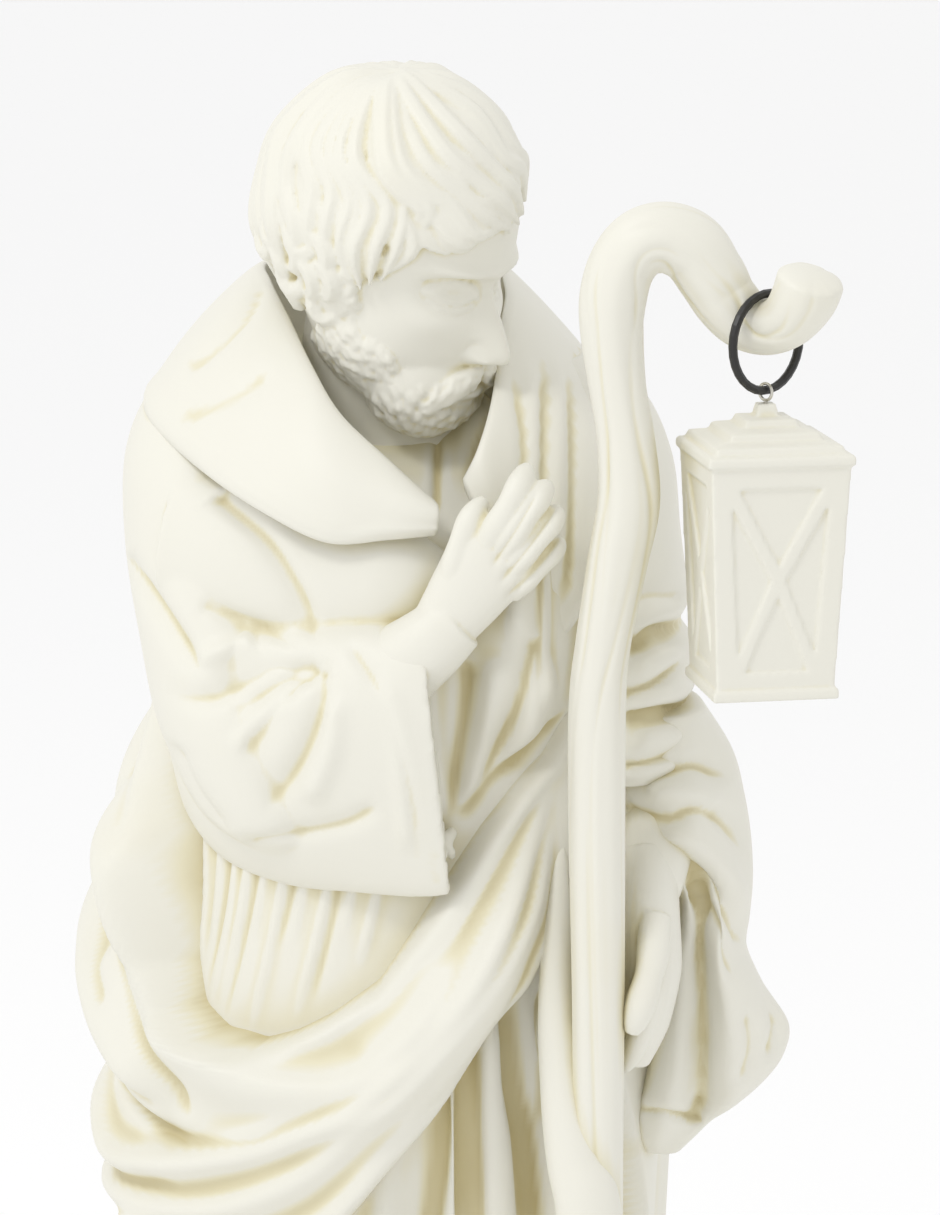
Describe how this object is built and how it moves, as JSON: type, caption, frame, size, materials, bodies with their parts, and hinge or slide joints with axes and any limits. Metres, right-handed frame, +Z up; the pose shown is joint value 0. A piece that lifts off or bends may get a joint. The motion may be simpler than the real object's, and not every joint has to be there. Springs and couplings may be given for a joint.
{
  "type": "religious statue",
  "caption": "Standing robed saint in ivory resin, one hand on his chest, holding a shepherd's staff whose crook carries a hanging lantern.",
  "frame": {"origin": "centre of the base's flat underside", "axes": "+Z up, the figure's front faces -Y, and +X is to the right of someone who looks at its front"},
  "size_m": [0.3231, 0.2756, 1.0007],
  "materials": {
    "figure_resin": "matt ivory cast resin with a yellower wash in the folds",
    "lantern_resin": "matt ivory cast resin",
    "ring_rubber": "black, slightly shiny",
    "eye_steel": "bright bent wire"
  },
  "bodies": {
    "root": {"figure": "figure_resin", "lantern": "lantern_resin", "hanging_ring": "ring_rubber", "wire_eye": "eye_steel"}
  },
  "joints": []
}
